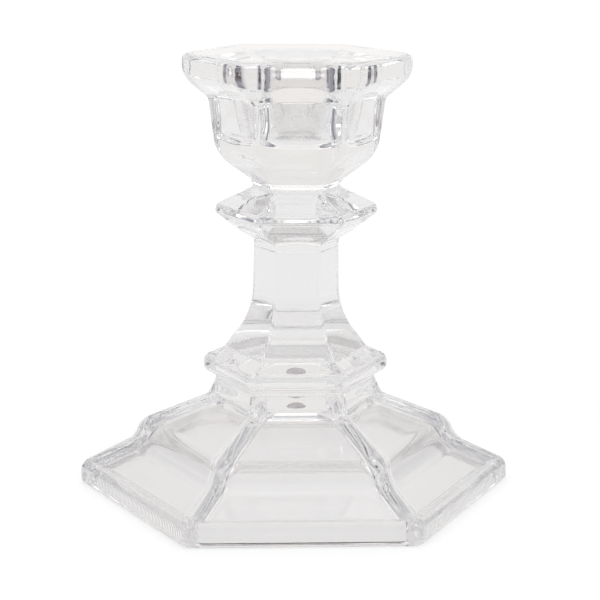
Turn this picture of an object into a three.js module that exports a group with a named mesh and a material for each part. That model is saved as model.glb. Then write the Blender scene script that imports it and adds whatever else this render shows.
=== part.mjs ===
// Glass candlestick: six clear pressed-glass sections stacked on one axis.
// Units are millimetres, +Z is up, and the origin is the middle of the face that it stands on.
// Every section is a hexagon in plan with a corner on +X, so one flat side faces -Y.
// A "reach" is the distance from the axis to the tip of a rounded corner.
import * as THREE from 'three';

const DEG = Math.PI / 180;
const SIDES = 6;
const COS_30 = Math.cos(30 * DEG);
const TAN_30 = Math.tan(30 * DEG);

// ---------- Driving dimensions ----------

// Heights of the sections, from the table up.
const FOOT_HEIGHT = 35.5;
const PLINTH_HEIGHT = 10.1;
const STEM_HEIGHT = 33.4;
const KNOP_HEIGHT = 18.6;
const WAFER_HEIGHT = 2.2;
const CUP_HEIGHT = 40.2;

// Foot: a hollow skirt with a stepped slope, and six sunk panes between ribs on the corners.
const FOOT_REACH = 69.9;
const FOOT_EDGE_HEIGHT = 6.6;
const FOOT_STEP_REACH = 51.5;
const FOOT_STEP_SLANT = 1.3;
const FOOT_STEP_BOTTOM = 14.8;
const FOOT_STEP_TOP = 21.4;
const THROAT_HEIGHT = 5.4;
const THROAT_SLANT = 2.4;
const BOTTOM_CHAMFER = 1;
const FOOT_PANE_DEPTH = 2;
const FOOT_PANE_BOTTOM = 7.4;
const FOOT_PANE_RUNOUT = 6.5;

// Hollow of the foot, and the small round mark that the mould leaves in its crown.
const FOOT_LIP_WIDTH = 8.3;
const FOOT_WALL = 6.5;
const CROWN_THICKNESS = 8.1;
const CROWN_REACH = 12;
const MARK_RADIUS = 3.1;
const MARK_DEPTH = 0.5;
const MARK_BEVEL = 0.2;

// Reaches at the joints and at the widest places above the foot.
const THROAT_REACH = 25.7;
const PLINTH_REACH = 29.7;
const STEM_FOOT_REACH = 23.1;
const STEM_REACH = 13.5;
const KNOP_REACH = 25.8;
const WAFER_REACH = 14.5;

// Heights and slants inside the sections. A height is from its own section's lower face.
const PLINTH_EDGE_CENTRE = 5;
const PLINTH_EDGE_HEIGHT = 4.4;
const PLINTH_NECK_HEIGHT = 0.9;
const PLINTH_NECK_SLANT = 0.2;
const STEM_FLARE_HEIGHT = 12;
const STEM_DRAFT = 0.5;
const KNOP_NECK_HEIGHT = 2.2;
const KNOP_NECK_SLANT = 0.1;
const KNOP_COVE_HEIGHT = 4.2;
const KNOP_COVE_SLANT = 3.6;
const KNOP_RIDGE_HEIGHT = 10.9;
const KNOP_EDGE_HEIGHT = 2.4;
const KNOP_EDGE_SLANT = 0.3;
const WAFER_WAIST = 0.9;

// Cup: ribs on the corners of six sunk panels, over a round bowl and under a wide plain rim.
const BOWL_REACH = 25.6;
const BOWL_HEIGHT = 8.8;
const PANEL_BOTTOM = 14.6;
const PANEL_TOP = 26;
const PANEL_DEPTH = 1.5;
const PANEL_ARCH = 1.6;
const PANEL_TOP_REACH = 27.8;
const RIM_REACH = 36;
const RIM_BAND_HEIGHT = 7.2;

// Candle socket: round, straight above, narrower below and closed at the bottom.
const SOCKET_MOUTH_RADIUS = 14.6;
const SOCKET_WAIST_RADIUS = 14.1;
const SOCKET_WAIST_DEPTH = 13;
const SOCKET_FLOOR_RADIUS = 10.6;
const SOCKET_DEPTH = 25.8;
const SOCKET_LIP = 2.4;

// Plan shape at the corners: how round they are, and how wide the ribs on them.
const CORNER_ROUNDING = 1.6;
const PLINTH_ROUNDING = 3.6;
const KNOP_ROUNDING = 3.8;
const BOWL_FOOT_ROUNDING = 6;
const BOWL_ROUNDING = 12;
const PANEL_ROUNDING = 2.4;
const RIM_ROUNDING = 8;
const FOOT_ROUNDING = 5;
const HOLLOW_ROUNDING = 3.2;
const FOOT_RIB_HALF_WIDTH = 2.3;
const CUP_RIB_HALF_WIDTH = 2.6;

// Softness of an outline's corners: the length that a curve takes off both sides.
const FOOT_EDGE_SOFTNESS = 3.4;
const FOOT_STEP_SOFTNESS = 4;
const THROAT_SOFTNESS = 1.8;
const LIP_SOFTNESS = 1.2;
const CROWN_SOFTNESS = 3;
const PLINTH_NECK_SOFTNESS = 0.8;
const PLINTH_EDGE_SOFTNESS = 2;
const STEM_FLARE_SOFTNESS = 10;
const KNOP_COVE_SOFTNESS = 0.9;
const KNOP_EDGE_SOFTNESS = 1;
const WAFER_SOFTNESS = 0.6;
const BOWL_SOFTNESS = 5;
const PANEL_TOP_SOFTNESS = 0.8;
const RIM_UNDER_SOFTNESS = 4;
const RIM_EDGE_SOFTNESS = 2.4;
const SOCKET_MOUTH_SOFTNESS = 1.2;
const SOCKET_WAIST_SOFTNESS = 5;
const SOCKET_FLOOR_SOFTNESS = 3.6;

// Mesh fineness. A flat keeps at least a fifth of its width beside the corner.
const ARC_STEPS = 3;
const RIB_STEPS = 3;
const PLAIN_CORNER_STEPS = 2;
const CLOSEST_RINGS = 0.1;
const LARGEST_CORNER_SHARE = 0.8;

// Height over which a sunk pane's border slopes down to it.
const PANE_BEVEL = 1.5;

// ---------- Heights of the joints between sections ----------

const FOOT_TOP = FOOT_HEIGHT;
const PLINTH_TOP = FOOT_TOP + PLINTH_HEIGHT;
const STEM_TOP = PLINTH_TOP + STEM_HEIGHT;
const KNOP_TOP = STEM_TOP + KNOP_HEIGHT;
const WAFER_TOP = KNOP_TOP + WAFER_HEIGHT;
const CUP_TOP = WAFER_TOP + CUP_HEIGHT;

// ---------- Outlines ----------

// Turns corner points [reach, height, softness] into an outline. Softness is the length
// taken off both sides of a corner by a curve, limited to half of the shorter side.
function softOutline(corners) {
  const path = new THREE.Path();
  path.moveTo(corners[0][0], corners[0][1]);
  for (let i = 1; i < corners.length - 1; i++) {
    const before = new THREE.Vector2(...corners[i - 1]);
    const corner = new THREE.Vector2(...corners[i]);
    const after = new THREE.Vector2(...corners[i + 1]);
    const lengthIn = corner.distanceTo(before);
    const lengthOut = corner.distanceTo(after);
    const cut = Math.min(corners[i][2] ?? 0, 0.49 * lengthIn, 0.49 * lengthOut);
    if (cut === 0) {
      path.lineTo(corner.x, corner.y);
      continue;
    }
    const start = corner.clone().lerp(before, cut / lengthIn);
    const end = corner.clone().lerp(after, cut / lengthOut);
    path.lineTo(start.x, start.y);
    path.quadraticCurveTo(corner.x, corner.y, end.x, end.y);
  }
  const last = corners[corners.length - 1];
  path.lineTo(last[0], last[1]);
  return path.getPoints(ARC_STEPS);
}

// Moves every inner corner of an outline inwards, so that its sides shift by one distance.
function offsetCorners(corners, distance) {
  const points = corners.map(([reach, height]) => new THREE.Vector2(reach, height));
  const sideNormals = points.slice(1).map((point, i) => {
    const run = point.clone().sub(points[i]).normalize();
    return new THREE.Vector2(run.y, -run.x);
  });
  return corners.slice(1, -1).map(([reach, height, softness], i) => {
    const sum = sideNormals[i].clone().add(sideNormals[i + 1]);
    const shift = distance / (1 + sideNormals[i].dot(sideNormals[i + 1]));
    return [reach - sum.x * shift, height - sum.y * shift, softness];
  });
}

// Adds a point to an outline wherever it climbs through one of some rising heights.
function withHeights(outline, heights) {
  const points = [outline[0]];
  for (let i = 1; i < outline.length; i++) {
    const below = outline[i - 1];
    const above = outline[i];
    for (const height of heights) {
      if (height > below.y + CLOSEST_RINGS && height < above.y - CLOSEST_RINGS) {
        points.push(below.clone().lerp(above, (height - below.y) / (above.y - below.y)));
      }
    }
    points.push(above);
  }
  return points;
}

// Outward normals of an outline that runs with the solid on its left.
function outlineNormals(outline) {
  return outline.map((point, i) => {
    const before = outline[Math.max(i - 1, 0)];
    const after = outline[Math.min(i + 1, outline.length - 1)];
    const run = after.clone().sub(before).normalize();
    return new THREE.Vector2(run.y, -run.x);
  });
}

// Rises smoothly from 0 at the start height to 1 at the end height.
function ramp(height, start, end) {
  return THREE.MathUtils.smoothstep(height, start, end);
}

// Rises smoothly from 0 to 1 at the centre height, and falls back to 0.
function bump(height, centre, halfWidth) {
  return ramp(height, centre - halfWidth, centre) * (1 - ramp(height, centre, centre + halfWidth));
}

// ---------- Rings ----------

// Distances from a corner's centre line to the points of a ring, out to the middle of a side.
function distancesAcross(halfSide, cornerHalfWidth, cornerSteps) {
  const distances = [];
  for (let i = 0; i <= cornerSteps; i++) {
    distances.push(cornerHalfWidth * Math.sin((90 * DEG * i) / cornerSteps));
  }
  distances.push(halfSide);
  return distances;
}

// One hexagonal ring. The point of the outline is its corner's tip, on the rib. The flats
// lie under it by the pane's depth, measured along the outline's normal, and lift raises
// or lowers the middle of each flat.
function hexRing(point, normal, shape) {
  const { rounding, paneDepth = 0, ribHalfWidth = 0, lift = 0, steps } = shape;
  const flatReach = point.x - paneDepth * normal.x;
  const flatHeight = point.y - paneDepth * normal.y;
  const sharpReach = flatReach + rounding * (1 / COS_30 - 1);
  const halfSide = sharpReach * COS_30 * 0.5;
  const halfWidth = Math.min(Math.max(ribHalfWidth, rounding / 2), LARGEST_CORNER_SHARE * halfSide);
  const corner = [];
  for (const across of distancesAcross(halfSide, halfWidth, steps)) {
    const onArc = across < rounding / 2;
    const along = onArc
      ? flatReach - rounding + Math.sqrt(rounding ** 2 - across ** 2)
      : sharpReach - across * TAN_30;
    const crest = across < ribHalfWidth ? Math.sqrt(1 - (across / ribHalfWidth) ** 2) : 0;
    const towardsMiddle = across / halfSide;
    corner.push({
      along: along + paneDepth * crest * normal.x,
      across,
      height: flatHeight + paneDepth * crest * normal.y
        + lift * towardsMiddle * (2 - towardsMiddle),
    });
  }
  const mirrored = corner.slice(1, -1).reverse().map((p) => ({ ...p, across: -p.across }));
  const ring = [];
  for (let side = 0; side < SIDES; side++) {
    const angle = side * 60 * DEG;
    for (const { along, across, height } of [...mirrored, ...corner]) {
      ring.push(new THREE.Vector3(
        along * Math.cos(angle) - across * Math.sin(angle),
        along * Math.sin(angle) + across * Math.cos(angle),
        height,
      ));
    }
  }
  return ring;
}

// Rings up an outline, each with the shape that shapeAt gives for its height and reach.
function hexRings(outline, shapeAt) {
  const normals = outlineNormals(outline);
  return outline.map((point, i) => hexRing(point, normals[i], shapeAt(point.y, point.x)));
}

// One round ring of evenly spaced points, as many as a ribbed hexagonal ring has.
function roundRing(radius, height) {
  const beforeCorner = RIB_STEPS;
  const count = SIDES * (2 * RIB_STEPS + 2);
  const ring = [];
  for (let i = 0; i < count; i++) {
    const angle = ((i - beforeCorner) / count) * 360 * DEG;
    ring.push(new THREE.Vector3(radius * Math.cos(angle), radius * Math.sin(angle), height));
  }
  return ring;
}

// Joins rings into one closed body, with a flat fan over the first and the last ring.
function closedBody(rings) {
  const count = rings[0].length;
  const positions = [];
  const indices = [];
  for (const ring of rings) {
    for (const point of ring) positions.push(point.x, point.y, point.z);
  }
  for (let i = 0; i < rings.length - 1; i++) {
    for (let j = 0; j < count; j++) {
      const a = i * count + j;
      const b = i * count + ((j + 1) % count);
      indices.push(a, b, b + count, a, b + count, a + count);
    }
  }
  const fan = (ringIndex, facesBack) => {
    const centre = positions.length / 3;
    const middle = rings[ringIndex][0];
    positions.push(0, 0, middle.z);
    for (let j = 0; j < count; j++) {
      const a = ringIndex * count + j;
      const b = ringIndex * count + ((j + 1) % count);
      if (facesBack) indices.push(centre, b, a);
      else indices.push(centre, a, b);
    }
  };
  fan(0, true);
  fan(rings.length - 1, false);
  const geometry = new THREE.BufferGeometry();
  geometry.setAttribute('position', new THREE.Float32BufferAttribute(positions, 3));
  geometry.setIndex(indices);
  geometry.computeVertexNormals();
  return geometry;
}

// ---------- Materials ----------

function glass(color) {
  return new THREE.MeshStandardMaterial({
    color, roughness: 0.05, metalness: 0, transparent: true, opacity: 0.35,
  });
}

function section(name, geometry, color) {
  const mesh = new THREE.Mesh(geometry, glass(color));
  mesh.name = name;
  return mesh;
}

// ---------- Sections ----------

// Hollow foot. Its panes end at the rounded outer edge and run out towards the throat.
function foot() {
  const slope = [
    [FOOT_REACH, 0],
    [FOOT_REACH, FOOT_EDGE_HEIGHT, FOOT_EDGE_SOFTNESS],
    [FOOT_STEP_REACH + FOOT_STEP_SLANT, FOOT_STEP_BOTTOM, FOOT_STEP_SOFTNESS],
    [FOOT_STEP_REACH - FOOT_STEP_SLANT, FOOT_STEP_TOP, FOOT_STEP_SOFTNESS],
    [THROAT_REACH + THROAT_SLANT, FOOT_TOP - THROAT_HEIGHT, THROAT_SOFTNESS],
    [THROAT_REACH, FOOT_TOP],
  ];
  const paneBottom = FOOT_PANE_BOTTOM;
  const paneStart = paneBottom + PANE_BEVEL;
  const chamfered = [
    [FOOT_REACH - BOTTOM_CHAMFER, 0],
    [FOOT_REACH, BOTTOM_CHAMFER],
    ...slope.slice(1),
  ];
  const outline = withHeights(softOutline(chamfered), [paneBottom, paneStart]);
  const outer = hexRings(outline, (height) => ({
    rounding: THREE.MathUtils.lerp(FOOT_ROUNDING, CORNER_ROUNDING, ramp(height, 0, FOOT_STEP_TOP)),
    paneDepth: FOOT_PANE_DEPTH * ramp(height, paneBottom, paneStart)
      * (1 - ramp(height, FOOT_TOP - FOOT_PANE_RUNOUT, FOOT_TOP)),
    ribHalfWidth: FOOT_RIB_HALF_WIDTH,
    steps: RIB_STEPS,
  }));

  // The hollow keeps one wall thickness under the slope, from an upright lip to a flat crown.
  const [edge, stepBottom, stepTop, throat] = offsetCorners(slope, FOOT_WALL);
  const lipReach = FOOT_REACH - FOOT_LIP_WIDTH;
  const gradient = (edge[1] - stepBottom[1]) / (edge[0] - stepBottom[0]);
  const lipTop = stepBottom[1] + gradient * (lipReach - stepBottom[0]);
  const crown = FOOT_TOP - CROWN_THICKNESS;
  const hollowOutline = softOutline([
    [lipReach, 0],
    [lipReach, lipTop, LIP_SOFTNESS],
    stepBottom,
    stepTop,
    throat,
    [CROWN_REACH, crown, CROWN_SOFTNESS],
    [MARK_RADIUS + MARK_BEVEL, crown],
    [MARK_RADIUS - MARK_BEVEL, crown + MARK_DEPTH],
    [0.5 * MARK_RADIUS, crown + MARK_DEPTH],
  ]);
  const hollow = hexRings(hollowOutline, (height, reach) => ({
    rounding: Math.min(reach, HOLLOW_ROUNDING),
    steps: RIB_STEPS,
  }));
  return section('foot', closedBody([...hollow.reverse(), ...outer]), 0xe9ecef);
}

// Plinth: a ledge with a rounded edge over a narrower throat.
function plinth() {
  const edge = FOOT_TOP + PLINTH_EDGE_CENTRE;
  const outline = softOutline([
    [THROAT_REACH, FOOT_TOP],
    [THROAT_REACH + PLINTH_NECK_SLANT, FOOT_TOP + PLINTH_NECK_HEIGHT, PLINTH_NECK_SOFTNESS],
    [PLINTH_REACH, edge - PLINTH_EDGE_HEIGHT / 2, PLINTH_EDGE_SOFTNESS],
    [PLINTH_REACH, edge + PLINTH_EDGE_HEIGHT / 2, PLINTH_EDGE_SOFTNESS],
    [STEM_FOOT_REACH, PLINTH_TOP],
  ]);
  const halfWidth = Math.min(edge - FOOT_TOP, PLINTH_TOP - edge);
  const rings = hexRings(outline, (height) => ({
    rounding: THREE.MathUtils.lerp(CORNER_ROUNDING, PLINTH_ROUNDING, bump(height, edge, halfWidth)),
    steps: PLAIN_CORNER_STEPS,
  }));
  return section('plinth', closedBody(rings), 0xe3e7ea);
}

// Stem: straight above, and flared to the plinth below.
function stem() {
  const outline = softOutline([
    [STEM_FOOT_REACH, PLINTH_TOP],
    [STEM_REACH + STEM_DRAFT, PLINTH_TOP + STEM_FLARE_HEIGHT, STEM_FLARE_SOFTNESS],
    [STEM_REACH, STEM_TOP],
  ]);
  const rings = hexRings(outline, () => ({ rounding: CORNER_ROUNDING, steps: PLAIN_CORNER_STEPS }));
  return section('stem', closedBody(rings), 0xeceeef);
}

// Knop: a double-sloped hexagonal disc with a narrow edge.
function knop() {
  const ridge = STEM_TOP + KNOP_RIDGE_HEIGHT;
  const outline = softOutline([
    [STEM_REACH, STEM_TOP],
    [STEM_REACH + KNOP_NECK_SLANT, STEM_TOP + KNOP_NECK_HEIGHT, KNOP_COVE_SOFTNESS],
    [STEM_REACH + KNOP_COVE_SLANT, STEM_TOP + KNOP_COVE_HEIGHT, KNOP_COVE_SOFTNESS],
    [KNOP_REACH, ridge, KNOP_EDGE_SOFTNESS],
    [KNOP_REACH - KNOP_EDGE_SLANT, ridge + KNOP_EDGE_HEIGHT, KNOP_EDGE_SOFTNESS],
    [WAFER_REACH, KNOP_TOP],
  ]);
  const halfWidth = Math.min(ridge - STEM_TOP, KNOP_TOP - ridge);
  const rings = hexRings(outline, (height) => ({
    rounding: THREE.MathUtils.lerp(CORNER_ROUNDING, KNOP_ROUNDING, bump(height, ridge, halfWidth)),
    steps: PLAIN_CORNER_STEPS,
  }));
  return section('knop', closedBody(rings), 0xe6e9ec);
}

// Wafer: the short neck that joins the hexagonal knop to the rounder foot of the bowl.
function wafer() {
  const outline = softOutline([
    [WAFER_REACH, KNOP_TOP],
    [WAFER_REACH - WAFER_WAIST, 0.5 * (KNOP_TOP + WAFER_TOP), WAFER_SOFTNESS],
    [WAFER_REACH, WAFER_TOP],
  ]);
  const rings = hexRings(outline, (height) => ({
    rounding: THREE.MathUtils.lerp(CORNER_ROUNDING, BOWL_FOOT_ROUNDING, ramp(height, KNOP_TOP, WAFER_TOP)),
    steps: PLAIN_CORNER_STEPS,
  }));
  return section('wafer', closedBody(rings), 0xdfe3e6);
}

// Cup: bowl, ribbed panels, flared rim and the candle socket.
function candleCup() {
  const bowl = WAFER_TOP + BOWL_HEIGHT;
  const panelBottom = WAFER_TOP + PANEL_BOTTOM;
  const panelTop = WAFER_TOP + PANEL_TOP;
  const corners = [
    [WAFER_REACH, WAFER_TOP],
    [BOWL_REACH, bowl, BOWL_SOFTNESS],
    [PANEL_TOP_REACH, panelTop, PANEL_TOP_SOFTNESS],
    [RIM_REACH, CUP_TOP - RIM_BAND_HEIGHT, RIM_UNDER_SOFTNESS],
    [RIM_REACH, CUP_TOP, RIM_EDGE_SOFTNESS],
    [SOCKET_MOUTH_RADIUS + 2 * SOCKET_LIP, CUP_TOP],
  ];
  const outline = withHeights(softOutline(corners),
    [panelBottom, panelBottom + PANE_BEVEL, panelTop + PANE_BEVEL]);
  const outer = hexRings(outline, (height) => {
    const swell = bump(height, WAFER_TOP + BOWL_HEIGHT / 2, BOWL_HEIGHT / 2);
    const bowlRounding = THREE.MathUtils.lerp(BOWL_FOOT_ROUNDING, BOWL_ROUNDING, swell);
    const panelRounding = THREE.MathUtils.lerp(bowlRounding, PANEL_ROUNDING,
      ramp(height, bowl, panelBottom));
    return {
      rounding: THREE.MathUtils.lerp(panelRounding, RIM_ROUNDING, ramp(height, panelTop, CUP_TOP)),
      paneDepth: PANEL_DEPTH * ramp(height, panelBottom, panelBottom + PANE_BEVEL)
        * (1 - ramp(height, panelTop, panelTop + PANE_BEVEL)),
      ribHalfWidth: CUP_RIB_HALF_WIDTH,
      lift: -PANEL_ARCH * bump(height, panelBottom, panelBottom - bowl),
      steps: RIB_STEPS,
    };
  });
  const floor = CUP_TOP - SOCKET_DEPTH;
  const socketOutline = softOutline([
    [SOCKET_MOUTH_RADIUS + SOCKET_LIP, CUP_TOP],
    [SOCKET_MOUTH_RADIUS, CUP_TOP, SOCKET_MOUTH_SOFTNESS],
    [SOCKET_WAIST_RADIUS, CUP_TOP - SOCKET_WAIST_DEPTH, SOCKET_WAIST_SOFTNESS],
    [SOCKET_FLOOR_RADIUS, floor, SOCKET_FLOOR_SOFTNESS],
    [0.5 * SOCKET_FLOOR_RADIUS, floor],
  ]);
  const socket = socketOutline.map(({ x: radius, y: height }) => roundRing(radius, height));
  return section('candle_cup', closedBody([...outer, ...socket]), 0xe9ecef);
}

const candlestick = new THREE.Group();
candlestick.add(foot(), plinth(), stem(), knop(), wafer(), candleCup());

export default candlestick;
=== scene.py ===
"""Looks for the glass candlestick: six pressed-glass sections in a bright studio.

Lengths are in millimetres unless they say otherwise, and the meshes are made in metres.
Heights of the joints come from the frame. A "reach" is the distance from the axis to the
tip of a rounded corner of the hexagon. A "softness" is the length that a curve takes off
both sides of an outline's corner. A "slant" is the change in reach beside a corner.
"""
import math

import bpy
import numpy as np
from mathutils import Matrix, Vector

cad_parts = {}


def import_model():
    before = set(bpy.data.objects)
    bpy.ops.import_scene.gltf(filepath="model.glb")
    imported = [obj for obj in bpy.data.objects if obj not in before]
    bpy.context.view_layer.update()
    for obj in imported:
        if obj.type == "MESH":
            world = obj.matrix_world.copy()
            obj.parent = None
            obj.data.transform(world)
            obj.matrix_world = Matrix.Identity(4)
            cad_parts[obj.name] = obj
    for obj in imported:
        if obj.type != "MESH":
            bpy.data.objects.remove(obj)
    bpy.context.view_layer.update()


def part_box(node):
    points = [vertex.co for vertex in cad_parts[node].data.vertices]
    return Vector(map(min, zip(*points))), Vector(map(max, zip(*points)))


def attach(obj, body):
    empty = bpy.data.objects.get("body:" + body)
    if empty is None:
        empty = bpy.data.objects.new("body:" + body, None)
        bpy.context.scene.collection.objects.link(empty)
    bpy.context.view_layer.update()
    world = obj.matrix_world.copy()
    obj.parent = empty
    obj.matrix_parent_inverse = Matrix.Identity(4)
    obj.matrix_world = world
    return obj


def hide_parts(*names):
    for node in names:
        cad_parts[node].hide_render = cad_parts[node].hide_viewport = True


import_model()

MM = 0.001
COS_30 = math.cos(math.radians(30))
TAN_30 = math.tan(math.radians(30))

# ---------- Heights of the joints, from the frame ----------


def top_of(node):
    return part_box(node)[1].z / MM


FOOT_TOP = top_of("foot")
PLINTH_TOP = top_of("plinth")
STEM_TOP = top_of("stem")
KNOP_TOP = top_of("knop")
WAFER_TOP = top_of("wafer")
CUP_TOP = top_of("candle_cup")

# ---------- Reaches at the joints and at the widest places ----------

FOOT_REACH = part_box("foot")[1].x / MM
THROAT_REACH = 25.7
PLINTH_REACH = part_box("plinth")[1].x / MM
STEM_FOOT_REACH = 23.1
STEM_REACH = 13.5
KNOP_REACH = 25.8
WAFER_REACH = 14.5
RIM_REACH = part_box("candle_cup")[1].x / MM

# ---------- Foot ----------

FOOT_CHAMFER = 1
FOOT_CHAMFER_SOFTNESS = 0.5
FOOT_EDGE_HEIGHT = 6.6
FOOT_EDGE_SOFTNESS = 3.4
FOOT_STEP_REACH = 51.5
FOOT_STEP_SLANT = 1.3
FOOT_STEP_BOTTOM = 14.8
FOOT_STEP_BOTTOM_SOFTNESS = 4
FOOT_STEP_TOP = 21.4
FOOT_STEP_TOP_SOFTNESS = 3.6
THROAT_HEIGHT = 5.4
THROAT_SLANT = 2.4
THROAT_SOFTNESS = 1.8
FOOT_ROUNDING = 5
FOOT_ROUNDING_TOP = 21
FOOT_PANE_DEPTH = 2
FOOT_PANE_BOTTOM = 7.4
FOOT_PANE_BEVEL = 1.6
FOOT_PANE_RUNOUT = 6.5
FOOT_RIB_HALF_WIDTH = 2.3
# The ribs of the foot are wider around its step.
FOOT_RIB_SWELL = 1
FOOT_RIB_SWELL_HEIGHT = 20.5
FOOT_RIB_SWELL_SPAN = 4
FOOT_LIP_WIDTH = 8.3
FOOT_LIP_SOFTNESS = 1.2
FOOT_WALL = 6.5
HOLLOW_SOFTNESS = 4
HOLLOW_ROUNDING = 3.2
CROWN_THICKNESS = 8.1
CROWN_REACH = 12
CROWN_SOFTNESS = 3
MARK_RADIUS = 3.1
MARK_BEVEL = 0.4
MARK_DEPTH = 0.5
MARK_RIM_SOFTNESS = 0.1
# A round end of an outline stops this far from the axis, and a fan closes it.
FAN_RADIUS = 0.5
SMALLEST_ROUNDING = 0.3

# ---------- Plinth and stem ----------

PLINTH_NECK_HEIGHT = 0.9
PLINTH_NECK_SLANT = 0.2
PLINTH_NECK_SOFTNESS = 0.8
PLINTH_EDGE_CENTRE = 5
PLINTH_EDGE_HALF_HEIGHT = 2.2
PLINTH_EDGE_SOFTNESS = 2
PLINTH_EXTRA_ROUNDING = 2
PLINTH_ROUNDING_SPAN = 4.5
STEM_FLARE_HEIGHT = 12
STEM_FLARE_SOFTNESS = 10
STEM_DRAFT = 0.5
# The stem's corners are sharpest in this place.
STEM_SHARPENING = 0.4
STEM_SHARP_HEIGHT = 20
STEM_SHARP_SPAN = 12

# ---------- Knop and wafer ----------

KNOP_NECK_HEIGHT = 2.2
KNOP_NECK_SLANT = 0.1
KNOP_NECK_SOFTNESS = 0.5
KNOP_COVE_HEIGHT = 4.2
KNOP_COVE_SLANT = 3.6
KNOP_COVE_SOFTNESS = 0.9
KNOP_RIDGE_HEIGHT = 10.9
KNOP_RIDGE_SOFTNESS = 0.7
KNOP_EDGE_HEIGHT = 2.4
KNOP_EDGE_SLANT = 0.3
KNOP_EDGE_SOFTNESS = 1.2
KNOP_EXTRA_ROUNDING = 2.2
KNOP_ROUNDING_SPAN = 6
# The crease under the knop bows upwards in the middle of each side.
KNOP_BOW = 0.9
KNOP_BOW_HEIGHT = 3.2
KNOP_BOW_SPAN = 3.2
WAFER_WAIST = 0.9
WAFER_SOFTNESS = 0.7
WAFER_EXTRA_ROUNDING = 4.4

# ---------- Cup and socket ----------

CUP_NECK_HEIGHT = 0.6
CUP_NECK_SLANT = 0.1
CUP_NECK_SOFTNESS = 0.5
BOWL_REACH = 25.6
BOWL_HEIGHT = 8.8
BOWL_SOFTNESS = 5
BOWL_FOOT_ROUNDING = 6
BOWL_EXTRA_ROUNDING = 6
BOWL_ROUNDING_SPAN = 4.4
BOWL_ROUND_HEIGHT = 6
PANEL_BOTTOM = 14.6
PANEL_TOP = 26
PANEL_TOP_REACH = 27.8
PANEL_TOP_SOFTNESS = 0.8
PANEL_DEPTH = 1.5
PANEL_BEVEL = 1.4
PANEL_ROUNDING = 2.4
# Both ends of a panel bow: the lower one downwards, and the upper one upwards.
PANEL_BOW_OFFSET = 0.6
PANEL_BOTTOM_BOW = 1.6
PANEL_BOTTOM_BOW_SPAN = 6
PANEL_TOP_BOW = 0.7
PANEL_TOP_BOW_SPAN = 5
CUP_RIB_HALF_WIDTH = 3.2
CUP_RIB_TAPER = 1
CUP_RIB_TAPER_HEIGHT = 6
RIM_BAND_HEIGHT = 7.2
RIM_UNDER_SOFTNESS = 4
RIM_EDGE_SOFTNESS = 2.4
RIM_INNER_REACH = 18.8
RIM_ROUNDING = 8
RIM_ROUNDING_DEPTH = 5
SOCKET_LIP_RADIUS = 17
SOCKET_MOUTH_RADIUS = 14.6
SOCKET_MOUTH_SOFTNESS = 1.2
SOCKET_WAIST_RADIUS = 14.1
SOCKET_WAIST_DEPTH = 13
SOCKET_WAIST_SOFTNESS = 5
SOCKET_FLOOR_RADIUS = 10.6
SOCKET_FLOOR_SOFTNESS = 3.6
SOCKET_DEPTH = 25.8

# ---------- Plan shape at the corners, where a section doesn't say otherwise ----------

CORNER_ROUNDING = 1.6
RIB_HALF_WIDTH = 2.1

# ---------- Fineness of the meshes: the spacing of the rings, and their points ----------

FOOT_SPACING = 0.5
STEM_SPACING = 0.6
FINE_SPACING = 0.4
WAFER_SPACING = 0.3
FEWEST_BEND_POINTS = 6
LARGEST_CUT_SHARE = 0.499
LARGEST_CORNER_SHARE = 0.8
CORNER_POINTS = 10
FLAT_POINTS = 8

# ---------- Outlines ----------


def soft_outline(corners, step):
    """Points along a polyline whose inner corners [reach, height, softness] are rounded."""
    points = [np.array(corners[0][:2], float)]

    def line_to(end):
        start = points[-1]
        count = max(1, int(math.ceil(np.linalg.norm(end - start) / step)))
        for i in range(1, count + 1):
            points.append(start + (end - start) * i / count)

    for i in range(1, len(corners) - 1):
        before = np.array(corners[i - 1][:2], float)
        corner = np.array(corners[i][:2], float)
        after = np.array(corners[i + 1][:2], float)
        length_in = np.linalg.norm(before - corner)
        length_out = np.linalg.norm(after - corner)
        cut = min(corners[i][2], LARGEST_CUT_SHARE * length_in, LARGEST_CUT_SHARE * length_out)
        start = corner + (before - corner) * cut / length_in
        end = corner + (after - corner) * cut / length_out
        line_to(start)
        bend = max(FEWEST_BEND_POINTS, int(math.ceil(2 * cut / step)))
        for k in range(1, bend + 1):
            t = k / bend
            points.append(start * (1 - t) ** 2 + corner * 2 * t * (1 - t) + end * t ** 2)
    line_to(np.array(corners[-1][:2], float))
    return np.array(points)


def outward_normals(outline):
    """Unit vectors across an outline, away from the glass."""
    run = np.gradient(outline, axis=0)
    run /= np.linalg.norm(run, axis=1)[:, None]
    return np.stack([run[:, 1], -run[:, 0]], 1)


def offset_corners(corners, distance):
    """Moves the inner corners of a polyline inwards, so that its sides shift by one distance."""
    points = np.array([corner[:2] for corner in corners], float)
    run = np.diff(points, axis=0)
    run /= np.linalg.norm(run, axis=1)[:, None]
    normal = np.stack([run[:, 1], -run[:, 0]], 1)
    shifted = []
    for i in range(1, len(points) - 1):
        total = normal[i - 1] + normal[i]
        moved = points[i] - total * distance / (1 + normal[i - 1] @ normal[i])
        shifted.append([moved[0], moved[1], corners[i][2]])
    return shifted


def ramp(value, start, end):
    """Rises from 0 to 1, smoothly, between two values."""
    t = np.clip((value - start) / (end - start), 0, 1)
    return t * t * (3 - 2 * t)


def bump(value, centre, half_width):
    """Rises from 0 to 1 and falls back to 0, smoothly, around a centre."""
    rise = ramp(value, centre - half_width, centre)
    fall = ramp(value, centre, centre + half_width)
    return rise * (1 - fall)


# ---------- Rings ----------


def side_rounding(height, extra, centre, half_width):
    """Rounding of the corners: the usual one, with some extra around a height."""
    return CORNER_ROUNDING + extra * bump(height, centre, half_width)


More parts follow.
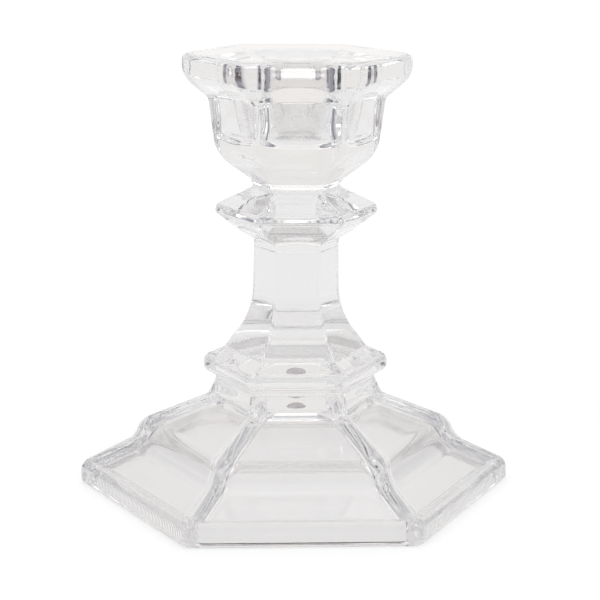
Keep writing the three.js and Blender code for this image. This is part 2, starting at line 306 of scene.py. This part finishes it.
def hex_rings(outline, rounding, rib_height=0.0, rib_width=RIB_HALF_WIDTH, lift=0.0):
    """Rings of points [ring, point, xyz] around the axis, one ring for each outline point.

    The outline is the one at the corners. The flats lie under it by the rib's height, along
    its normal, and lift raises the middle of each flat, so that a level edge becomes an arch.
    """
    count = len(outline)
    normals = outward_normals(outline)
    shape = (rounding, rib_height, rib_width, lift)
    rounding, rib_height, rib_width, lift = (
        np.broadcast_to(value, count)[:, None] for value in shape)
    flat_reach = outline[:, :1] - rib_height * normals[:, :1]
    flat_height = outline[:, 1:] - rib_height * normals[:, 1:]
    sharp = flat_reach + rounding * (1 / COS_30 - 1)
    half = sharp * COS_30 * 0.5
    corner = np.sin(np.linspace(0, math.pi / 2, CORNER_POINTS + 1))
    flat = np.linspace(0, 1, FLAT_POINTS + 1)[1:]
    width = np.maximum(rib_width * (rib_height > 0), rounding / 2)
    width = np.minimum(width, LARGEST_CORNER_SHARE * half)
    across = np.concatenate([corner[None] * width, width + (half - width) * flat[None]], 1)
    on_arc = across < rounding / 2
    arc = flat_reach - rounding + np.sqrt(np.maximum(rounding ** 2 - across ** 2, 0))
    along = np.where(on_arc, arc, sharp - across * TAN_30)
    crest = np.sqrt(np.clip(1 - (across / np.maximum(rib_width, 1e-6)) ** 2, 0, 1))
    along = along + rib_height * crest * normals[:, :1]
    height = flat_height + rib_height * crest * normals[:, 1:]
    towards_middle = across / half
    height = height + lift * towards_middle * (2 - towards_middle)
    across = np.concatenate([-across[:, -2:0:-1], across], 1)
    along = np.concatenate([along[:, -2:0:-1], along], 1)
    height = np.concatenate([height[:, -2:0:-1], height], 1)
    rings = []
    for side in range(6):
        angle = side * math.pi / 3
        x = along * math.cos(angle) - across * math.sin(angle)
        y = along * math.sin(angle) + across * math.cos(angle)
        rings.append(np.stack([x, y, height], 2))
    return np.concatenate(rings, 1)


def round_rings(outline):
    """Circles with as many points as the hexagonal rings have."""
    per_side = 2 * (CORNER_POINTS + FLAT_POINTS)
    count = 6 * per_side
    angle = (np.arange(count) - (per_side // 2 - 1)) * 2 * math.pi / count
    x = outline[:, :1] * np.cos(angle)[None]
    y = outline[:, :1] * np.sin(angle)[None]
    z = np.broadcast_to(outline[:, 1:], x.shape)
    return np.stack([x, y, z], 2)


def closed_piece(name, outer, hollow, bottom_is_joint, top_is_joint, materials):
    """A closed mesh from rings, with a fan over each end.

    A hollow that opens to the table comes before the outer rings, and one that opens at
    the top comes after them. The materials are for the outside, the hollow and the joints.
    """
    opens_down = hollow is not None and not bottom_is_joint
    parts = [outer] if hollow is None else [hollow, outer] if opens_down else [outer, hollow]
    rings = np.concatenate(parts)
    pressed = np.concatenate([np.full(len(part), part is hollow) for part in parts])
    ring_count, count = rings.shape[:2]
    points = rings.reshape(-1, 3) * MM
    centres = np.array([[0, 0, rings[0, :, 2].mean()], [0, 0, rings[-1, :, 2].mean()]]) * MM
    points = np.concatenate([points, centres])
    faces = []
    index = np.arange(count)
    nxt = (index + 1) % count
    for i in range(ring_count - 1):
        a = i * count
        quad = np.stack([a + index, a + nxt, a + count + nxt, a + count + index], 1)
        faces.extend(quad.tolist())
    side_faces = len(faces)
    first = ring_count * count
    last = first + 1
    top = (ring_count - 1) * count
    faces.extend([[first, int(b), int(a)] for a, b in zip(index, nxt)])
    faces.extend([[last, int(top + a), int(top + b)] for a, b in zip(index, nxt)])
    mesh = bpy.data.meshes.new(name)
    mesh.from_pydata(points.tolist(), [], faces)
    for material in materials:
        mesh.materials.append(material)
    slots = np.zeros(len(faces), np.int32)
    slots[:side_faces] = np.repeat(pressed[:-1] & pressed[1:], count)
    slots[side_faces:side_faces + count] = 2 if bottom_is_joint else pressed[0]
    slots[side_faces + count:] = 2 if top_is_joint else pressed[-1]
    smooth = np.ones(len(faces), bool)
    smooth[side_faces:] = False
    mesh.polygons.foreach_set("material_index", slots)
    mesh.polygons.foreach_set("use_smooth", smooth)
    mesh.update()
    piece = bpy.data.objects.new(name, mesh)
    bpy.context.scene.collection.objects.link(piece)
    return piece


# ---------- Materials ----------

GLASS_TONE = (0.80, 0.796, 0.794, 1)
PRESSED_TONE = (0.90, 0.886, 0.878, 1)
GLASS_INDEX = 1.5
# Scales are in waves per metre, and heights of waves in metres.
RIPPLE_SCALE = 55.0
RIPPLE_HEIGHT = 0.00004
SPECKLE_SCALE = 400.0
SPECKLE_RANGE = (0.6, 1.4)
# Roughness deep in the socket, near both openings, and under the crown of the foot.
DEEP_ROUGHNESS = 0.25
MOUTH_ROUGHNESS = 0.07
FOOT_ROUGHNESS = 0.10
# Depths in the socket between which it turns from dull to clear.
DULL_DEPTH = 14
CLEAR_DEPTH = 9
MARK_EDGE = 0.1
MARK_ROUGHNESS = 0.8
MARK_TONE = (0.62, 0.56, 0.58, 1)
# Fine upright waves around the inside of the foot's lip.
FLUTES = 384
FLUTE_HEIGHT = 0.000015
FLUTE_TOP = 3.5
FLUTE_FULL_HEIGHT = 2.8


def new_material(name):
    """An empty node material, with its nodes and links."""
    material = bpy.data.materials.new(name)
    material.use_nodes = True
    material.node_tree.nodes.clear()
    return material, material.node_tree.nodes, material.node_tree.links


def glass_shader(nodes, links):
    """Clear glass with the tone and the index of the whole object."""
    out = nodes.new("ShaderNodeOutputMaterial")
    shader = nodes.new("ShaderNodeBsdfPrincipled")
    shader.inputs["Base Color"].default_value = GLASS_TONE
    shader.inputs["IOR"].default_value = GLASS_INDEX
    shader.inputs["Transmission Weight"].default_value = 1.0
    links.new(shader.outputs["BSDF"], out.inputs["Surface"])
    return shader


def ripple(nodes, links, coordinates):
    """The slow waves that a pressed surface keeps after it is fire-polished."""
    noise = nodes.new("ShaderNodeTexNoise")
    noise.inputs["Scale"].default_value = RIPPLE_SCALE
    noise.inputs["Detail"].default_value = 1.0
    links.new(coordinates.outputs["Object"], noise.inputs["Vector"])
    bump_node = nodes.new("ShaderNodeBump")
    bump_node.inputs["Strength"].default_value = 1.0
    bump_node.inputs["Distance"].default_value = RIPPLE_HEIGHT
    links.new(noise.outputs["Fac"], bump_node.inputs["Height"])
    return bump_node


def clear_glass():
    """Fire-polished outside of the glass."""
    material, nodes, links = new_material("clear_glass")
    shader = glass_shader(nodes, links)
    shader.inputs["Roughness"].default_value = 0.0
    coordinates = nodes.new("ShaderNodeTexCoord")
    waves = ripple(nodes, links, coordinates)
    links.new(waves.outputs["Normal"], shader.inputs["Normal"])
    return material


def pressed_glass(name, low, high, mark_radius):
    """Inside of a hollow: duller from the plunger, with its mark and with flutes at the lip.

    The roughness changes between two places, each given as (height, roughness).
    """
    material, nodes, links = new_material(name)
    shader = glass_shader(nodes, links)
    coordinates = nodes.new("ShaderNodeTexCoord")
    waves = ripple(nodes, links, coordinates)

    noise = nodes.new("ShaderNodeTexNoise")
    noise.inputs["Scale"].default_value = SPECKLE_SCALE
    links.new(coordinates.outputs["Object"], noise.inputs["Vector"])
    speckle = nodes.new("ShaderNodeMapRange")
    speckle.inputs["To Min"].default_value = SPECKLE_RANGE[0]
    speckle.inputs["To Max"].default_value = SPECKLE_RANGE[1]
    links.new(noise.outputs["Fac"], speckle.inputs["Value"])
    place = nodes.new("ShaderNodeSeparateXYZ")
    links.new(coordinates.outputs["Object"], place.inputs["Vector"])
    by_height = nodes.new("ShaderNodeMapRange")
    by_height.inputs["From Min"].default_value = low[0] * MM
    by_height.inputs["From Max"].default_value = high[0] * MM
    by_height.inputs["To Min"].default_value = low[1]
    by_height.inputs["To Max"].default_value = high[1]
    links.new(place.outputs["Z"], by_height.inputs["Value"])
    dullness = nodes.new("ShaderNodeMath")
    dullness.operation = "MULTIPLY"
    links.new(speckle.outputs["Result"], dullness.inputs[0])
    links.new(by_height.outputs["Result"], dullness.inputs[1])

    flat_place = nodes.new("ShaderNodeVectorMath")
    flat_place.operation = "MULTIPLY"
    flat_place.inputs[1].default_value = (1, 1, 0)
    links.new(coordinates.outputs["Object"], flat_place.inputs[0])
    reach = nodes.new("ShaderNodeVectorMath")
    reach.operation = "LENGTH"
    links.new(flat_place.outputs["Vector"], reach.inputs[0])
    in_mark = nodes.new("ShaderNodeMapRange")
    in_mark.inputs["From Min"].default_value = (mark_radius + MARK_EDGE) * MM
    in_mark.inputs["From Max"].default_value = (mark_radius - MARK_EDGE) * MM
    links.new(reach.outputs["Value"], in_mark.inputs["Value"])
    finish = nodes.new("ShaderNodeMix")
    links.new(in_mark.outputs["Result"], finish.inputs["Factor"])
    links.new(dullness.outputs["Value"], finish.inputs["A"])
    finish.inputs["B"].default_value = MARK_ROUGHNESS
    links.new(finish.outputs["Result"], shader.inputs["Roughness"])
    tone = nodes.new("ShaderNodeMix")
    tone.data_type = "RGBA"
    links.new(in_mark.outputs["Result"], tone.inputs["Factor"])
    tone.inputs["A"].default_value = PRESSED_TONE
    tone.inputs["B"].default_value = MARK_TONE
    links.new(tone.outputs["Result"], shader.inputs["Base Color"])

    angle = nodes.new("ShaderNodeMath")
    angle.operation = "ARCTAN2"
    links.new(place.outputs["Y"], angle.inputs[0])
    links.new(place.outputs["X"], angle.inputs[1])
    turns = nodes.new("ShaderNodeMath")
    turns.operation = "MULTIPLY"
    turns.inputs[1].default_value = FLUTES
    links.new(angle.outputs["Value"], turns.inputs[0])
    wave = nodes.new("ShaderNodeMath")
    wave.operation = "SINE"
    links.new(turns.outputs["Value"], wave.inputs[0])
    near_lip = nodes.new("ShaderNodeMapRange")
    near_lip.inputs["From Min"].default_value = FLUTE_TOP * MM
    near_lip.inputs["From Max"].default_value = FLUTE_FULL_HEIGHT * MM
    links.new(place.outputs["Z"], near_lip.inputs["Value"])
    faded = nodes.new("ShaderNodeMath")
    faded.operation = "MULTIPLY"
    links.new(wave.outputs["Value"], faded.inputs[0])
    links.new(near_lip.outputs["Result"], faded.inputs[1])
    flutes = nodes.new("ShaderNodeBump")
    flutes.inputs["Strength"].default_value = 1.0
    flutes.inputs["Distance"].default_value = FLUTE_HEIGHT
    links.new(faded.outputs["Value"], flutes.inputs["Height"])
    links.new(waves.outputs["Normal"], flutes.inputs["Normal"])
    links.new(flutes.outputs["Normal"], shader.inputs["Normal"])
    return material


def fused_joint():
    """Faces where two sections are fused: nothing shows there."""
    material, nodes, links = new_material("fused_joint")
    out = nodes.new("ShaderNodeOutputMaterial")
    shader = nodes.new("ShaderNodeBsdfTransparent")
    links.new(shader.outputs["BSDF"], out.inputs["Surface"])
    return material


# ---------- Sections ----------


def foot_rings():
    """Outer rings of the stepped skirt, and the rings of its hollow from the table up."""
    slope = [
        [FOOT_REACH, 0],
        [FOOT_REACH, FOOT_EDGE_HEIGHT, FOOT_EDGE_SOFTNESS],
        [FOOT_STEP_REACH + FOOT_STEP_SLANT, FOOT_STEP_BOTTOM, FOOT_STEP_BOTTOM_SOFTNESS],
        [FOOT_STEP_REACH - FOOT_STEP_SLANT, FOOT_STEP_TOP, FOOT_STEP_TOP_SOFTNESS],
        [THROAT_REACH + THROAT_SLANT, FOOT_TOP - THROAT_HEIGHT, THROAT_SOFTNESS],
        [THROAT_REACH, FOOT_TOP],
    ]
    chamfer = [
        [FOOT_REACH - FOOT_CHAMFER, 0],
        [FOOT_REACH, FOOT_CHAMFER, FOOT_CHAMFER_SOFTNESS],
    ]
    outline = soft_outline(chamfer + slope[1:], FOOT_SPACING)
    height = outline[:, 1]
    pane = ramp(height, FOOT_PANE_BOTTOM, FOOT_PANE_BOTTOM + FOOT_PANE_BEVEL)
    pane = pane * (1 - ramp(height, FOOT_TOP - FOOT_PANE_RUNOUT, FOOT_TOP))
    sharpening = CORNER_ROUNDING - FOOT_ROUNDING
    rounding = FOOT_ROUNDING + sharpening * ramp(height, 0, FOOT_ROUNDING_TOP)
    swell = bump(height, FOOT_RIB_SWELL_HEIGHT, FOOT_RIB_SWELL_SPAN)
    rib_width = FOOT_RIB_HALF_WIDTH + FOOT_RIB_SWELL * swell
    outer = hex_rings(outline, rounding, FOOT_PANE_DEPTH * pane, rib_width)

    lip = FOOT_REACH - FOOT_LIP_WIDTH
    inside = offset_corners(slope, FOOT_WALL)
    edge, step_low, step_high, throat = inside
    slant = (edge[1] - step_low[1]) / (edge[0] - step_low[0])
    lip_top = step_low[1] + slant * (lip - step_low[0])
    crown = FOOT_TOP - CROWN_THICKNESS
    hollow = soft_outline([
        [lip, 0],
        [lip, lip_top, FOOT_LIP_SOFTNESS],
        [step_low[0], step_low[1], HOLLOW_SOFTNESS],
        [step_high[0], step_high[1], HOLLOW_SOFTNESS],
        [throat[0], throat[1], HOLLOW_SOFTNESS],
        [CROWN_REACH, crown, CROWN_SOFTNESS],
        [MARK_RADIUS, crown, MARK_RIM_SOFTNESS],
        [MARK_RADIUS - MARK_BEVEL, crown + MARK_BEVEL, MARK_BEVEL],
        [FAN_RADIUS, crown + MARK_DEPTH],
    ], FOOT_SPACING)
    inner = hex_rings(hollow, np.clip(hollow[:, 0], SMALLEST_ROUNDING, HOLLOW_ROUNDING))
    return outer, inner[::-1]


def plinth_rings():
    """A ledge with an upright edge, under the stem."""
    edge = FOOT_TOP + PLINTH_EDGE_CENTRE
    neck = FOOT_TOP + PLINTH_NECK_HEIGHT
    outline = soft_outline([
        [THROAT_REACH, FOOT_TOP],
        [THROAT_REACH + PLINTH_NECK_SLANT, neck, PLINTH_NECK_SOFTNESS],
        [PLINTH_REACH, edge - PLINTH_EDGE_HALF_HEIGHT, PLINTH_EDGE_SOFTNESS],
        [PLINTH_REACH, edge + PLINTH_EDGE_HALF_HEIGHT, PLINTH_EDGE_SOFTNESS],
        [STEM_FOOT_REACH, PLINTH_TOP],
    ], FINE_SPACING)
    height = outline[:, 1]
    rounding = side_rounding(height, PLINTH_EXTRA_ROUNDING, edge, PLINTH_ROUNDING_SPAN)
    return hex_rings(outline, rounding), None


def stem_rings():
    """A column that flares towards the plinth."""
    outline = soft_outline([
        [STEM_FOOT_REACH, PLINTH_TOP],
        [STEM_REACH + STEM_DRAFT, PLINTH_TOP + STEM_FLARE_HEIGHT, STEM_FLARE_SOFTNESS],
        [STEM_REACH, STEM_TOP],
    ], STEM_SPACING)
    sharpest = PLINTH_TOP + STEM_SHARP_HEIGHT
    rounding = side_rounding(outline[:, 1], -STEM_SHARPENING, sharpest, STEM_SHARP_SPAN)
    return hex_rings(outline, rounding), None


def knop_rings():
    """A disc with two slopes that meet at a ridge, over a cove at the stem."""
    ridge = STEM_TOP + KNOP_RIDGE_HEIGHT
    cove = STEM_TOP + KNOP_COVE_HEIGHT
    outline = soft_outline([
        [STEM_REACH, STEM_TOP],
        [STEM_REACH + KNOP_NECK_SLANT, STEM_TOP + KNOP_NECK_HEIGHT, KNOP_NECK_SOFTNESS],
        [STEM_REACH + KNOP_COVE_SLANT, cove, KNOP_COVE_SOFTNESS],
        [KNOP_REACH, ridge, KNOP_RIDGE_SOFTNESS],
        [KNOP_REACH - KNOP_EDGE_SLANT, ridge + KNOP_EDGE_HEIGHT, KNOP_EDGE_SOFTNESS],
        [WAFER_REACH, KNOP_TOP],
    ], FINE_SPACING)
    height = outline[:, 1]
    rounding = side_rounding(height, KNOP_EXTRA_ROUNDING, ridge, KNOP_ROUNDING_SPAN)
    lift = KNOP_BOW * bump(height, STEM_TOP + KNOP_BOW_HEIGHT, KNOP_BOW_SPAN)
    return hex_rings(outline, rounding, 0, RIB_HALF_WIDTH, lift), None


def wafer_rings():
    """A short neck with a waist, rounder towards the cup."""
    outline = soft_outline([
        [WAFER_REACH, KNOP_TOP],
        [WAFER_REACH - WAFER_WAIST, 0.5 * (KNOP_TOP + WAFER_TOP), WAFER_SOFTNESS],
        [WAFER_REACH, WAFER_TOP],
    ], WAFER_SPACING)
    extra = WAFER_EXTRA_ROUNDING * ramp(outline[:, 1], KNOP_TOP, WAFER_TOP)
    return hex_rings(outline, CORNER_ROUNDING + extra), None


def cup_rings():
    """Outer rings of the bowl, panels and rim, and the rings of the socket from its mouth."""
    panel_top = WAFER_TOP + PANEL_TOP
    panel_bottom = WAFER_TOP + PANEL_BOTTOM
    outline = soft_outline([
        [WAFER_REACH, WAFER_TOP],
        [WAFER_REACH + CUP_NECK_SLANT, WAFER_TOP + CUP_NECK_HEIGHT, CUP_NECK_SOFTNESS],
        [BOWL_REACH, WAFER_TOP + BOWL_HEIGHT, BOWL_SOFTNESS],
        [PANEL_TOP_REACH, panel_top, PANEL_TOP_SOFTNESS],
        [RIM_REACH, CUP_TOP - RIM_BAND_HEIGHT, RIM_UNDER_SOFTNESS],
        [RIM_REACH, CUP_TOP, RIM_EDGE_SOFTNESS],
        [RIM_INNER_REACH, CUP_TOP],
    ], FINE_SPACING)
    height = outline[:, 1]
    pane = ramp(height, panel_bottom, panel_bottom + PANEL_BEVEL)
    pane = pane * (1 - ramp(height, panel_top, panel_top + PANEL_BEVEL))

    roundest = WAFER_TOP + BOWL_ROUNDING_SPAN
    bowl = BOWL_FOOT_ROUNDING + BOWL_EXTRA_ROUNDING * bump(height, roundest, BOWL_ROUNDING_SPAN)
    to_panels = ramp(height, WAFER_TOP + BOWL_ROUND_HEIGHT, panel_bottom)
    to_rim = ramp(height, panel_top, CUP_TOP - RIM_ROUNDING_DEPTH)
    rounding = bowl + (PANEL_ROUNDING - bowl) * to_panels
    rounding = rounding + (RIM_ROUNDING - PANEL_ROUNDING) * to_rim

    lower_end = bump(height, panel_bottom + PANEL_BOW_OFFSET, PANEL_BOTTOM_BOW_SPAN)
    upper_end = bump(height, panel_top + PANEL_BOW_OFFSET, PANEL_TOP_BOW_SPAN)
    lift = PANEL_TOP_BOW * upper_end - PANEL_BOTTOM_BOW * lower_end
    taper = 1 - ramp(height, panel_bottom, panel_bottom + CUP_RIB_TAPER_HEIGHT)
    rib_width = CUP_RIB_HALF_WIDTH - CUP_RIB_TAPER * taper
    outer = hex_rings(outline, rounding, PANEL_DEPTH * pane, rib_width, lift)

    floor_height = CUP_TOP - SOCKET_DEPTH
    socket = soft_outline([
        [SOCKET_LIP_RADIUS, CUP_TOP],
        [SOCKET_MOUTH_RADIUS, CUP_TOP, SOCKET_MOUTH_SOFTNESS],
        [SOCKET_WAIST_RADIUS, CUP_TOP - SOCKET_WAIST_DEPTH, SOCKET_WAIST_SOFTNESS],
        [SOCKET_FLOOR_RADIUS, floor_height, SOCKET_FLOOR_SOFTNESS],
        [FAN_RADIUS, floor_height],
    ], FINE_SPACING)
    return outer, round_rings(socket)


outside = clear_glass()
foot_inside = pressed_glass(
    "pressed_glass", (0, MOUTH_ROUGHNESS), (FOOT_TOP, FOOT_ROUGHNESS), MARK_RADIUS)
dull = (CUP_TOP - DULL_DEPTH, DEEP_ROUGHNESS)
clear = (CUP_TOP - CLEAR_DEPTH, MOUTH_ROUGHNESS)
socket_inside = pressed_glass("socket_glass", dull, clear, 0)
joint = fused_joint()

# For each node: its rings, and whether its lower and its upper end are fused to a neighbour.
SECTIONS = {
    "foot": (foot_rings, False, True),
    "plinth": (plinth_rings, True, True),
    "stem": (stem_rings, True, True),
    "knop": (knop_rings, True, True),
    "wafer": (wafer_rings, True, True),
    "candle_cup": (cup_rings, True, False),
}
for node, (make_rings, bottom_joint, top_joint) in SECTIONS.items():
    outer, hollow = make_rings()
    inside = foot_inside if node == "foot" else socket_inside
    materials = [outside, inside, joint]
    piece = closed_piece(node + "_glass", outer, hollow, bottom_joint, top_joint, materials)
    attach(piece, "root")
    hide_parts(node)

# ---------- Stage ----------

# The floor is white: part of its brightness is its own, so that it has no harsh shadow.
FLOOR_HALF_SIZE = 20.0
FLOOR_DROP = 0.0002
FLOOR_GLOW = 0.74
FLOOR_TONE = 0.28
# Painted light: the floor's glow is painted brighter under the middle of the foot. It stands in
# for the light that the glass gathers there.
PAINTED_LIGHT_UNDER_FOOT = 1.05
PAINTED_LIGHT_START = 0.3 * FOOT_REACH
PAINTED_LIGHT_END = 0.95 * FOOT_REACH
# Colour of the sky by how far its direction leans back: 1 is straight behind.
SKY_TONES = [
    (-1.0, (0.80, 0.80, 0.82)),
    (-0.3, (0.48, 0.48, 0.52)),
    (0.2, (0.27, 0.27, 0.33)),
    (0.42, (0.33, 0.33, 0.39)),
    (0.66, (1.0, 0.99, 0.98)),
    (1.0, (1.02, 1.0, 0.98)),
]
# Patches of the sky: azimuth, elevation, inner and outer half-angle, colour.
PATCHES = [
    (0, 90, 32, 42, (1.5, 1.5, 1.5)),
    (61, 13, 6, 10, (0.02, 0.02, 0.03)),
    (150, 22, 5, 9, (0.03, 0.03, 0.05)),
    (-148, 34, 5, 9, (0.03, 0.03, 0.05)),
    (98, 30, 6, 10, (0.04, 0.04, 0.06)),
    (-64, 11, 3, 7, (0.10, 0.07, 0.07)),
    (128, 48, 6, 9, (5, 5, 5)),
    (236, 48, 6, 9, (5, 5, 5)),
]


def floor():
    """A large white floor just under the foot, with a painted pool of light under its middle."""
    mesh = bpy.data.meshes.new("floor")
    signs = [(-1, -1), (1, -1), (1, 1), (-1, 1)]
    corners = [(x * FLOOR_HALF_SIZE, y * FLOOR_HALF_SIZE, -FLOOR_DROP) for x, y in signs]
    mesh.from_pydata(corners, [], [(0, 1, 2, 3)])
    material = bpy.data.materials.new("floor_white")
    material.use_nodes = True
    shader = material.node_tree.nodes["Principled BSDF"]
    shader.inputs["Base Color"].default_value = (FLOOR_TONE, FLOOR_TONE, FLOOR_TONE, 1)
    shader.inputs["Roughness"].default_value = 1.0
    shader.inputs["Specular IOR Level"].default_value = 0.0
    shader.inputs["Emission Color"].default_value = (1, 1, 1, 1)
    nodes = material.node_tree.nodes
    links = material.node_tree.links
    coordinates = nodes.new("ShaderNodeTexCoord")
    reach = nodes.new("ShaderNodeVectorMath")
    reach.operation = "LENGTH"
    links.new(coordinates.outputs["Object"], reach.inputs[0])
    # The glow is painted brighter near the axis: a painted pool of light under the foot.
    glow = nodes.new("ShaderNodeMapRange")
    glow.interpolation_type = "SMOOTHSTEP"
    glow.inputs["From Min"].default_value = PAINTED_LIGHT_START * MM
    glow.inputs["From Max"].default_value = PAINTED_LIGHT_END * MM
    glow.inputs["To Min"].default_value = PAINTED_LIGHT_UNDER_FOOT * FLOOR_GLOW
    glow.inputs["To Max"].default_value = FLOOR_GLOW
    links.new(reach.outputs["Value"], glow.inputs["Value"])
    links.new(glow.outputs["Result"], shader.inputs["Emission Strength"])
    mesh.materials.append(material)
    plane = bpy.data.objects.new("floor", mesh)
    bpy.context.scene.collection.objects.link(plane)


def direction(azimuth, elevation):
    """Unit vector towards a compass direction: azimuth 0 is behind the object, +Y."""
    a = math.radians(azimuth)
    e = math.radians(elevation)
    return (math.cos(e) * math.sin(a), math.cos(e) * math.cos(a), math.sin(e))


def world():
    """A bright tent, darker on the viewer's side, with a few dark gaps and bright lamps."""
    studio = bpy.data.worlds.new("studio")
    bpy.context.scene.world = studio
    studio.use_nodes = True
    nodes = studio.node_tree.nodes
    links = studio.node_tree.links
    background = nodes["Background"]
    background.inputs["Strength"].default_value = 1.0
    coordinates = nodes.new("ShaderNodeTexCoord")
    split = nodes.new("ShaderNodeSeparateXYZ")
    links.new(coordinates.outputs["Generated"], split.inputs["Vector"])

    depth = nodes.new("ShaderNodeValToRGB")
    shift = nodes.new("ShaderNodeMapRange")
    shift.inputs["From Min"].default_value = -1
    shift.inputs["From Max"].default_value = 1
    links.new(split.outputs["Y"], shift.inputs["Value"])
    links.new(shift.outputs["Result"], depth.inputs["Fac"])
    stops = depth.color_ramp.elements
    stops[0].color = (*SKY_TONES[0][1], 1)
    stops[1].color = (*SKY_TONES[-1][1], 1)
    for lean, colour in SKY_TONES[1:-1]:
        stop = stops.new((lean + 1) / 2)
        stop.color = (*colour, 1)
    tone = depth.outputs["Color"]
    for azimuth, elevation, inner, outer, colour in PATCHES:
        dot = nodes.new("ShaderNodeVectorMath")
        dot.operation = "DOT_PRODUCT"
        dot.inputs[1].default_value = direction(azimuth, elevation)
        links.new(coordinates.outputs["Generated"], dot.inputs[0])
        edge = nodes.new("ShaderNodeMapRange")
        edge.inputs["From Min"].default_value = math.cos(math.radians(outer))
        edge.inputs["From Max"].default_value = math.cos(math.radians(inner))
        links.new(dot.outputs["Value"], edge.inputs["Value"])
        mix = nodes.new("ShaderNodeMix")
        mix.data_type = "RGBA"
        links.new(edge.outputs["Result"], mix.inputs["Factor"])
        links.new(tone, mix.inputs["A"])
        mix.inputs["B"].default_value = (*colour, 1)
        tone = mix.outputs["Result"]
    links.new(tone, background.inputs["Color"])


# The camera looks along +Y and down, then is turned about the object by the yaw.
CAMERA_PLACE = (1.34, -545.4, 191.2)
CAMERA_YAW = -2.689
CAMERA_PITCH = 13.437
CAMERA_ROLL = 0.432
LENS = 104.66
SENSOR_WIDTH = 36


def camera():
    """A camera without shift or depth of field."""
    data = bpy.data.cameras.new("camera")
    data.lens = LENS
    data.sensor_width = SENSOR_WIDTH
    cam = bpy.data.objects.new("camera", data)
    bpy.context.scene.collection.objects.link(cam)
    yaw = Matrix.Rotation(math.radians(CAMERA_YAW), 4, "Z")
    place = Matrix.Translation([value * MM for value in CAMERA_PLACE])
    tilt = Matrix.Rotation(math.radians(90 - CAMERA_PITCH), 4, "X")
    roll = Matrix.Rotation(math.radians(CAMERA_ROLL), 4, "Z")
    cam.matrix_world = yaw @ place @ tilt @ roll
    bpy.context.scene.camera = cam


floor()
world()
camera()

scene = bpy.context.scene
scene.view_settings.view_transform = "Standard"
# Light crosses many faces of the glass before it leaves.
scene.cycles.max_bounces = 48
scene.cycles.transmission_bounces = 48
scene.cycles.glossy_bounces = 24
scene.cycles.transparent_max_bounces = 64
